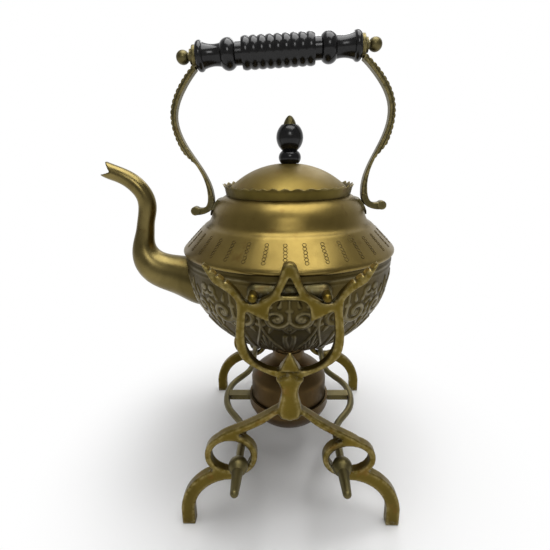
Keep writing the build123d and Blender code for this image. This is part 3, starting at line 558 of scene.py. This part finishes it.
def flat_edges(node, y):
    """The closed edges round a node's flat face at y, each an array of (x, z)."""
    shape = welded(node)
    flat = {f for f in shape.faces if abs(f.normal.y) > 0.99 and abs(f.calc_center_median().y - y) < 1e-5}
    border = dict.fromkeys(e for e in shape.edges if sum(f in flat for f in e.link_faces) == 1)
    loops = []
    while border:
        start, here = border.popitem()[0].verts
        loop = [start]
        while here != start:
            loop.append(here)
            onward = [e for e in here.link_edges if e in border]
            if not onward:
                break
            del border[onward[0]]
            here = onward[0].other_vert(here)
        loops.append(np.array([(v.co.x, v.co.z) for v in loop]))
    shape.free()
    return loops


def bead_edge(points, rim, wanted, pitch, height, reach):
    """Moves the points near the wanted stretches of a rim in and out into a row of cross beads."""
    number, distance = rim.nearest(points)
    # round beads with narrow cuts between them, a little more cut away than added
    wave = 2 * np.abs(np.sin(np.pi * rim.along[number] / (pitch * MM))) ** 0.7 - 1.15
    share = np.clip(1.3 * (1 - distance / (reach * MM)), 0, 1) * wanted[number]
    points[:, [0, 2]] += (height * MM * wave * share)[:, None] * rim.outward[number]


# ---------------------------------------------------------------- castings
def square_gap(points):
    """Draws the round gap under the arch's crossbar out to a rounded square."""
    x, z = points[:, 0] / MM, points[:, 2] / MM - GAP_Z
    reach, angle = np.hypot(x, z), np.arctan2(z, x)
    wide, tall = np.abs(np.cos(angle)) / GAP_HALF_W, np.abs(np.sin(angle)) / GAP_R
    wanted = (wide ** GAP_SQUARE + tall ** GAP_SQUARE) ** (-1 / GAP_SQUARE)
    near = np.exp(-(((reach - GAP_R) / GAP_FALL) ** 2)) * np.clip((z + GAP_START) / GAP_START, 0, 1)
    step = (wanted - GAP_R) * near * MM
    points[:, 0] += step * np.cos(angle)
    points[:, 2] += step * np.sin(angle)


def spread_horns(points, rim):
    """Lets the horns lean further out, as broad leaves, with three cuts across the upper edge."""
    number, distance = rim.nearest(points)
    x, z = np.abs(points[:, 0]) / MM, points[:, 2] / MM
    rise = np.clip((z - HORN_FOOT_Z) / (HORN_TIP_Z - HORN_FOOT_Z), 0, 1) * (x > HORN_FOOT_X)
    upper = (rim.outward[number, 1] > 0.2) & (distance < CUT_REACH * MM) & (rise > 0.1)
    for place in HORN_CUTS:
        points[:, 2] -= CUT_DEPTH * MM * np.exp(-(((x - place) / CUT_HALF_W) ** 2)) * upper
    below = np.clip(-rim.outward[number, 1] + 0.3, 0, 1) * np.clip(1 - distance / (SWELL_REACH * MM), 0, 1)
    broad = np.sin(np.pi * rise) * below
    out = (HORN_OUT * rise + SWELL_OUT * broad) * MM
    points[:, 0] += np.sign(points[:, 0]) * out
    points[:, 2] -= (HORN_DOWN * rise + SWELL_DOWN * broad) * MM


def add_stand_frame(side, where):
    """A stand casting with soft edges, a squarer gap and broader horns."""
    node = f"stand_frame_{where}"
    points, quads, edges = even_copy(node, FRAME_VOXEL, rounds=2)
    rim = Rim.of_face(node, side * FRAME_FACE_Y * MM)     # the face's longest edge is round the horns
    square_gap(points)
    spread_horns(points, rim)
    add_piece(f"frame_{where}", points, quads, "stand", "cast_brass", [node],
              **wear_values(points, quads, edges))


def add_arm(side, where):
    """A cast handle arm: a cord along the inner edge, a groove beside it, cross beads outside."""
    node = f"handle_arm_{where}"
    points, quads, edges = even_copy(node, ARM_VOXEL, rounds=2)
    rim = Rim.of_face(node, ARM_FACE_Y * MM)
    high = rim.places[:, 1] > ARM_STEP_Z * MM
    inward = rim.outward[:, 0] * side < 0.1
    outer = high & (rim.outward[:, 0] * side > 0.05)
    bead_edge(points, rim, outer.astype(float), **ARM_BEAD)
    distance = rim.part(inward).nearest(points)[1] / MM
    across = np.clip(1 - ((distance - CORD_W / 2) / (CORD_W / 2)) ** 2, 0, 1)
    groove = np.exp(-(((distance - CORD_W - GROOVE_W) / GROOVE_W) ** 2))
    shape = CORD_H * np.sqrt(across) - GROOVE_D * groove
    y = points[:, 1] / MM
    on_face = np.clip((np.abs(y) - CORD_EDGE_Y) / CORD_EDGE_W, 0, 1)
    on_face *= (points[:, 2] > CORD_FOOT_Z * MM) * (np.abs(y) < ARM_FACE_Y + ARM_MARGIN)
    points[:, 1] += np.sign(y) * shape * on_face * MM
    add_piece(f"arm_{where}", points, quads, "kettle", "cast_brass", [node], "aged_brass",
              **wear_values(points, quads, edges, full=0.08))


def add_carrier_bar(side, where):
    """A bent carrier bar on a smooth curve from knob to knob, by the spoke's end."""
    corners = np.array(CARRIER_PATH + [(x, -y, z) for x, y, z in CARRIER_PATH[-2::-1]])
    at = np.linspace(0, 1, len(corners))
    even = np.linspace(0, 1, CARRIER_ROWS)
    path = np.stack([smooth_along(at, corners[:, k], even) for k in range(3)], axis=1)
    path[:, 0] *= side
    ahead = np.gradient(path, axis=0)
    ahead /= np.linalg.norm(ahead, axis=1)[:, None]
    across = np.cross(ahead, (0, 0, 1))
    across /= np.linalg.norm(across, axis=1)[:, None]
    up = np.cross(across, ahead)
    turn = np.arange(CARRIER_TURNS) * 2 * np.pi / CARRIER_TURNS
    random = np.random.default_rng(5)
    uneven = np.convolve(random.uniform(-1, 1, CARRIER_ROWS), np.ones(9) / 3, "same")
    girth = CARRIER_BAR_R * (1 + CARRIER_UNEVEN * uneven)
    ring = np.cos(turn)[:, None] * across[:, None] + np.sin(turn)[:, None] * up[:, None]
    tube = path[:, None] + girth[:, None, None] * ring
    caps = np.repeat(path[[0, -1], None], CARRIER_TURNS, axis=1)
    points = np.concatenate([caps[:1], tube, caps[1:]]).reshape(-1, 3) * MM
    quads = grid_quads(CARRIER_ROWS + 2, CARRIER_TURNS)
    add_piece(f"carrier_{where}", points, quads if side > 0 else quads[:, ::-1], "stand", "cast_brass",
              [f"carrier_bar_{where}"], "aged_brass")


def smooth_along(at, values, wanted):
    """A smooth curve near the values, with the same ends, by evening out a dense copy in rounds."""
    dense = np.interp(wanted, at, values)
    for _ in range(CARRIER_ROUNDS):
        dense[1:-1] = (dense[:-2] + 2 * dense[1:-1] + dense[2:]) / 4
    return dense


# ---------------------------------------------------------------- kettle
def add_collar():
    """The thin crimped collar round the mouth, its lip bent out in uneven scallops."""
    (low_x, _, low_z), (_, _, high_z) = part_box("kettle_gallery")
    top_r = -low_x
    foot_r = top_r - COLLAR_FLARE * MM
    turns = CRIMPS * CRIMP_POINTS
    angle = np.arange(turns) * 2 * np.pi / turns
    random = np.random.default_rng(7)
    size = np.repeat(random.uniform(*CRIMP_SIZES, CRIMPS), CRIMP_POINTS)
    size = np.convolve(np.tile(size, 3), np.ones(9) / 9, "same")[turns:2 * turns]
    crimp = size * np.sin(CRIMPS * angle / 2 + 0.9 * np.sin(3 * angle)) ** 2
    share = np.array(COLLAR_ROWS)[:, None]
    lip = np.clip((share - LIP_START) / LIP_LENGTH, 0, 1)
    # the whole wall waves slowly in and out as well, by less than half a millimetre
    slow = 0.25 * np.sin(17 * angle + 1.3 * np.sin(5 * angle)) + 0.2 * np.sin(7 * angle)
    bent = CRIMP_OUT * crimp * lip + slow * share * (1 - 0.5 * lip)
    radius = foot_r + (top_r - foot_r) * share + MM * bent
    height = low_z + (high_z - low_z) * share - MM * CRIMP_DIP * (1 - crimp) * lip
    inside_r = radius[::-1] - COLLAR_WALL * MM * (1 - LIP_THINNER * lip[::-1])
    mid_r = (radius[-1:] + inside_r[:1]) / 2
    radius = np.vstack([radius, mid_r, inside_r, inside_r[-1:]])
    height = np.vstack([height, height[-1:] + LIP_ROUND * MM, height[::-1], height[:1]])
    radius[-1] = radius[0]
    worn = np.concatenate([lip, [[1.0]], lip[::-1], [[0.0]]])
    add_piece("collar", around(radius, height, angle), grid_quads(len(radius), turns), "kettle",
              "polished_brass", ["kettle_gallery"], "collar_brass",
              worn=np.broadcast_to(worn, radius.shape).reshape(-1))


def outer_profile(node, low_angle, high_angle, count):
    """Radii and heights of a turned node's outside on the side away from the spout.

    The angles are in degrees up from the level, at AXIS_Z on the axis.
    """
    shape = welded(node)
    tree = BVHTree.FromBMesh(shape)
    shape.free()
    found = []
    centre = Vector((0, 0, AXIS_Z * MM))
    for angle in np.radians(np.linspace(low_angle, high_angle, count)):
        ray = Vector((math.cos(angle), 0, math.sin(angle)))
        hit = tree.ray_cast(centre + ray * (LOOK_FROM * MM), -ray)[0]
        found.append((hit.x, hit.z))
    return np.array(found)


def add_spout():
    """The spout, its bends and the beak's cut edge smoothed by hand polishing."""
    points, quads, edges = even_copy("kettle_spout", SPOUT_VOXEL, rounds=2)
    for _ in range(POLISH_ROUNDS):
        for share in POLISH_STEPS:
            points = points + share * (neighbour_mean(points, edges) - points)
    add_piece("spout", points, quads, "kettle", "polished_brass", ["kettle_spout"], "spout_brass")


def add_knob_cap():
    """The brass cap on the lid's knob, a small dome with a blunt tip."""
    (low_x, _, low_z), (high_x, _, high_z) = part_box("lid_knob_cap")
    radius, middle = (high_x - low_x) / 2, (high_x + low_x) / 2
    share = np.sin(np.linspace(0, np.pi / 2, CAP_ROWS))
    dome = np.sqrt(1 - share ** 2) * (1 - CAP_POINTED * share ** 2)
    out = radius * np.concatenate([[0, CAP_FOOT], dome, [0]])
    side = share * (1 - CAP_DROOP * (1 - share))
    rise = low_z + (high_z - low_z) * np.concatenate([[0, 0], side, [1]])
    angle = np.arange(CAP_TURNS) * 2 * np.pi / CAP_TURNS
    points = around(*(np.repeat(k[:, None], CAP_TURNS, 1) for k in (out, rise)), angle)
    points[:, 0] += middle
    add_piece("knob_cap", points, grid_quads(len(out), CAP_TURNS), "lid", "polished_brass",
              ["lid_knob_cap"], "aged_brass")


def add_shoulder():
    """The spun shoulder, its corners softened as in sheet."""
    points, quads, edges = even_copy("kettle_shoulder", SHOULDER_VOXEL, rounds=8)
    add_piece("shoulder", points, quads, "kettle", "polished_brass", ["kettle_shoulder"],
              **wear_values(points, quads, edges, full=0.3))


def add_punched_rings():
    """Rows of small rings punched up the cone."""
    low, high = outer_profile("kettle_shoulder", *CONE_ANGLES, 2)
    slope = (high - low) / np.linalg.norm(high - low)
    middle = (low + high) / 2
    ring, wire = 16, 6      # points round the ring and round its wire
    along = np.repeat(np.arange(ring) * 2 * np.pi / ring, wire)
    about = np.tile(np.arange(wire) * 2 * np.pi / wire, ring)
    out = RING_R + RING_WIRE * np.cos(about)
    one = np.stack([out * np.cos(along), out * np.sin(along), RING_WIRE * np.sin(about)], axis=1) * MM
    number = np.arange(ring * wire).reshape(ring, wire)
    next_ring, next_wire = np.roll(number, -1, 0), np.roll(number, -1, 1)
    quads = np.stack([number, next_ring, np.roll(next_ring, -1, 1), next_wire], axis=-1).reshape(-1, 4)
    random = np.random.default_rng(3)
    points, faces = [], []
    for column in range(RING_COLUMNS):
        lean = random.uniform(-COLUMN_LEAN, COLUMN_LEAN)
        for row in range(RING_ROWS):
            up = (row - (RING_ROWS - 1) / 2) * RING_PITCH + random.uniform(-STRAY_UP, STRAY_UP)
            r, z = middle + slope * up * MM
            turn = math.radians(RING_FIRST + column * 360 / RING_COLUMNS)
            turn += (random.uniform(-STRAY_ACROSS, STRAY_ACROSS) + lean * up) * MM / r
            east = np.array([-math.sin(turn), math.cos(turn), 0])
            away = np.array([math.cos(turn), math.sin(turn), 0])
            north = slope[0] * away + np.array([0, 0, slope[1]])
            facing = np.cross(east, north)
            place = r * away + np.array([0, 0, z])
            faces.append(quads + len(points) * len(one))
            points.append(place + one @ np.array([east, north, facing]))
    # the rings are coloured dark for tarnish and painted shade in the punched lines
    add_piece("punched_rings", np.vstack(points), np.vstack(faces), "kettle", "polished_brass",
              material="punched_line")


# ---------------------------------------------------------------- the chased bowl
def line(*corners, wide, high=1.0, count=60):
    """A smooth stroke along corners (across, up): samples of place, half-width and height.

    Across runs from 0 in the middle of a repeat to 1 at its side, and up from 0 at the base to 1.
    wide gives the half-width in mm at the start and the end.
    """
    corners = np.array(corners, float)
    at = np.linspace(0, 1, len(corners))
    t = np.linspace(0, 1, count)
    if len(corners) == 2:
        place = corners[0] + t[:, None] * (corners[1] - corners[0])
    else:
        bend = np.polyfit(at, corners, min(len(corners) - 1, 3))
        place = sum(bend[-1 - k] * t[:, None] ** k for k in range(len(bend)))
    return np.column_stack([place, np.linspace(*wide, count), np.full(count, high)])


def scroll(across, up, start, turns, outer, inner, wide, radius, length, high=1.0, count=110):
    """A spiral stroke round a centre, with its radii in mm, at a bowl radius and over a profile length."""
    t = np.linspace(0, 1, count)
    angle = np.radians(start) + turns * 2 * np.pi * t
    reach = outer + (inner - outer) * t ** 0.8
    x = across + reach * np.cos(angle) / (np.pi / CELLS * radius)
    y = up + reach * np.sin(angle) / length
    return np.column_stack([x, y, np.linspace(*wide, count), np.full(count, high)])


def chased_strokes(length):
    """The strokes of half a repeat: a pointed palmette, and a leafy scroll beside it."""
    scroll_x, scroll_y = SCROLL_PLACE
    strokes = [
        line((0, 0.05), (0, 0.46), wide=(1.9, 0.9)),
        line((0.62, 0.04), (0.60, 0.18), (0.40, 0.33), (0.20, 0.42), (0, 0.60), wide=(1.3, 1.0), high=0.9),
        line((0.16, 0.08), (0.30, 0.16), (0.36, 0.25), wide=(1.7, 0.6), high=0.8),
        line((0.12, 0.17), (0.22, 0.25), (0.26, 0.33), wide=(1.6, 0.5), high=0.8),
        line((0.08, 0.27), (0.14, 0.34), (0.15, 0.40), wide=(1.3, 0.5), high=0.8),
        line((0, 0.60), (0, 0.72), wide=(1.6, 0.5), high=0.9),
        line((1.0, 0.05), (0.93, 0.20), (0.84, 0.34), (0.84, 0.46), wide=(1.9, 1.5)),
        line((0, 0.025), (1, 0.025), wide=(1.0, 1.0), high=0.7),
        line((0, 0.965), (1, 0.965), wide=(0.9, 0.9), high=0.6),
        line((0, 0.925), (1, 0.925), wide=(0.6, 0.6), high=0.4),
        scroll(scroll_x, scroll_y, -20, -1.45, SCROLL_R, 1.2, (1.9, 1.1), BOWL_R_MIDDLE, length),
        scroll(0.18, 0.84, 200, 1.2, 4.6, 0.8, (1.2, 0.8), BOWL_R_TOP, length, high=0.85),
        line((1.0, 0.60), (1.0, 0.88), wide=(1.6, 0.6), high=0.9),
    ]
    for angle in range(-60, 250, 34):
        x, y = math.cos(math.radians(angle)), math.sin(math.radians(angle))
        near, far = ((scroll_x + reach * x / HALF_CELL, scroll_y + reach * y / length)
                     for reach in (LEAF_FROM, LEAF_TO))
        strokes.append(line(near, far, wide=(1.7, 0.5), high=0.75, count=24))
    for across, up in ((1.0, 0.56), (0.62, 0.66), (0.2, 0.84)):
        strokes.append(line((across, up), (across, up + 0.004), wide=(1.9, 1.9), high=1.0, count=3))
    return strokes


def chased_relief(radius, length, turns):
    """The relief's height from 0 to 1 over the bowl, by row and turn."""
    per_cell = turns // CELLS
    half = np.abs((np.arange(per_cell) / per_cell) * 2 - 1)
    across = 1 - half
    up = np.linspace(0, 1, len(radius))
    cell_mm = np.pi / CELLS * radius[:, None]
    height = np.zeros((len(radius), per_cell))
    for stroke in chased_strokes(length):
        for x, y, wide, high in stroke:
            apart = ((across[None] - x) * cell_mm) ** 2 + ((up[:, None] - y) * length) ** 2
            height = np.maximum(height, high * np.sqrt(np.clip(1 - apart / wide ** 2, 0, 1)))
    return np.tile(height, (1, CELLS))


def add_chasing():
    """The bowl's chased skin, set on the bowl's wall with its borders tucked into it."""
    profile = outer_profile("kettle_bowl", *CHASED_ANGLES, 300)
    reach = np.concatenate([[0], np.cumsum(np.linalg.norm(np.diff(profile, axis=0), axis=1))])
    rows, turns = CHASED_ROWS, CELL_POINTS * CELLS
    even = np.linspace(0, reach[-1], rows)
    radius, height = (np.interp(even, reach, profile[:, k]) for k in range(2))
    ahead = np.gradient(np.stack([radius, height], axis=1), axis=0)
    ahead /= np.linalg.norm(ahead, axis=1)[:, None]
    relief = chased_relief(radius / MM, reach[-1] / MM, turns)
    random = np.random.default_rng(11)
    stipple = random.uniform(0, STIPPLE, relief.shape)
    share = np.sin(np.pi * np.linspace(0, 1, rows)) ** BORDER_FALL
    rise = MM * (SKIN + (RELIEF_H * relief + stipple * (1 - relief)) * share[:, None])
    rise[0] = rise[-1] = -TUCK * MM
    # the first repeat starts half its width before the front, so that its middle faces the camera
    angle = np.radians(-90 - 180 / CELLS) + np.arange(turns) * 2 * np.pi / turns
    out_r = radius[:, None] + rise * ahead[:, 1:]
    out_z = height[:, None] - rise * ahead[:, :1]
    points = around(out_r, out_z, angle)
    quads = grid_quads(rows, turns)
    x, y, z = points[quads].mean(axis=1).T / MM
    in_spout = (x < 0) & ((y / SPOUT_ROOT_Y_R) ** 2 + ((z - SPOUT_ROOT_Z) / SPOUT_ROOT_Z_R) ** 2 < 1)
    add_piece("chasing", points, quads[~in_spout], "kettle", "chased_brass",
              relief=(relief + stipple).reshape(-1))


# ---------------------------------------------------------------- stage
CAMERA_PLACE = Vector((-3.08, -301.62, 244.39)) * MM
CAMERA_PITCH = 16.89        # degrees down
CAMERA_YAW = -1.36          # degrees to the right
CAMERA_ROLL = -0.69
FOCAL_PIXELS = 406.88
PHOTO_WIDTH = 550
SENSOR = 36.0
ROOM_FRONT = 0.30           # the surround behind the camera, as metal sees it
ROOM_BACK = 1.0             # the white background
ROOM_BACK_Y = 0.97          # it is all white where a direction has this much +Y, and ROOM_FRONT from 0 down
ROOM_SOFT = 0.15            # the surround as plain surfaces see it
FLOOR_HALF = 2.0
FLOOR_COLOUR = (0.93, 0.93, 0.93)
FLOOR_FADE = (0.10, 0.21)   # the floor turns to plain white between these distances, in metres
LAMPS = (                   # name, place, target and size in metres, and power in watts
    ("top", (0.10, -0.04, 1.10), (0, 0, 0.13), (0.8, 0.8), 9.9),
    ("front", (0.03, -0.95, 0.75), (0, 0, 0.17), (0.35, 0.3), 2.2),
    ("back", (0.25, 0.85, 0.9), (0, 0, 0.1), (0.5, 0.4), 2.0),
)


def add_camera():
    """The camera at the photograph's place and angle."""
    camera = bpy.data.objects.new("camera", bpy.data.cameras.new("camera"))
    bpy.context.scene.collection.objects.link(camera)
    camera.data.sensor_width = SENSOR
    camera.data.lens = FOCAL_PIXELS / PHOTO_WIDTH * SENSOR
    camera.data.clip_start = 0.01
    turn = (Matrix.Rotation(math.radians(-CAMERA_YAW), 4, "Z")
            @ Matrix.Rotation(math.radians(90 - CAMERA_PITCH), 4, "X")
            @ Matrix.Rotation(math.radians(CAMERA_ROLL), 4, "Z"))
    camera.matrix_world = Matrix.Translation(CAMERA_PLACE) @ turn
    bpy.context.scene.camera = camera


def add_lamp(name, place, target, size, power):
    """A soft lamp that faces its target."""
    lamp = bpy.data.objects.new(name, bpy.data.lights.new(name, "AREA"))
    bpy.context.scene.collection.objects.link(lamp)
    lamp.data.shape = "RECTANGLE"
    lamp.data.size, lamp.data.size_y = size
    lamp.data.energy = power
    lamp.location = place
    lamp.rotation_euler = (Vector(target) - Vector(place)).to_track_quat("-Z", "Y").to_euler()


def add_world():
    """A white background for the camera. Metal sees it fade to a darker room in front of the object."""
    world = bpy.data.worlds.new("studio")
    bpy.context.scene.world = world
    world.use_nodes = True
    nodes = Nodes(world.node_tree)
    towards = nodes.add("ShaderNodeTexCoord", output="Generated")
    y = nodes.add("ShaderNodeSeparateXYZ", {0: towards}, output="Y")
    room = nodes.ramp(y, 0.0, ROOM_BACK_Y, ROOM_FRONT, ROOM_BACK)
    glossy = nodes.add("ShaderNodeLightPath", output="Is Glossy Ray")
    lit = nodes.between(glossy, ROOM_SOFT, room)
    strength = nodes.between(nodes.seen_by("Is Camera Ray", "Is Transmission Ray"), lit, ROOM_BACK)
    nodes.end("ShaderNodeOutputWorld", nodes.add("ShaderNodeBackground", {
        "Color": colour(1, 1, 1), "Strength": strength}))


def add_floor():
    """A pale floor that keeps the object's shadow and turns plain white further out."""
    mesh = bpy.data.meshes.new("floor")
    corners = [(x * FLOOR_HALF, y * FLOOR_HALF, 0) for x, y in ((-1, -1), (1, -1), (1, 1), (-1, 1))]
    mesh.from_pydata(corners, [], [(0, 1, 2, 3)])
    floor = bpy.data.objects.new("floor", mesh)
    bpy.context.scene.collection.objects.link(floor)
    material = bpy.data.materials.new("floor")
    material.use_nodes = True
    nodes = Nodes(material.node_tree)
    diffuse = nodes.add("ShaderNodeBsdfDiffuse", {"Color": colour(*FLOOR_COLOUR)})
    white = nodes.add("ShaderNodeEmission", {"Strength": 1.0})
    place = nodes.add("ShaderNodeNewGeometry", output="Position")
    distance = nodes.add("ShaderNodeVectorMath", {0: place}, output="Value", operation="LENGTH")
    fade = nodes.ramp(distance, *FLOOR_FADE, interpolation_type="SMOOTHSTEP")
    faded = nodes.math("MULTIPLY", nodes.seen_by("Is Camera Ray", "Is Glossy Ray"), fade)
    nodes.end("ShaderNodeOutputMaterial", nodes.add("ShaderNodeMixShader", {
        0: faded, 1: diffuse, 2: white}))
    mesh.materials.append(material)


def set_stage():
    add_camera()
    add_world()
    add_floor()
    for lamp in LAMPS:
        add_lamp(*lamp)
    bpy.context.scene.view_settings.view_transform = "Standard"


# ---------------------------------------------------------------- the scene
MATERIALS = make_materials()
dress_nodes()
for y_side, frame_name in ((-1, "front"), (1, "rear")):
    add_stand_frame(y_side, frame_name)
for add in (add_arm, add_carrier_bar):
    for x_side, side_name in ((-1, "left"), (1, "right")):
        add(x_side, side_name)
add_spout()
add_collar()
add_knob_cap()
add_shoulder()
add_punched_rings()
add_chasing()
set_stage()
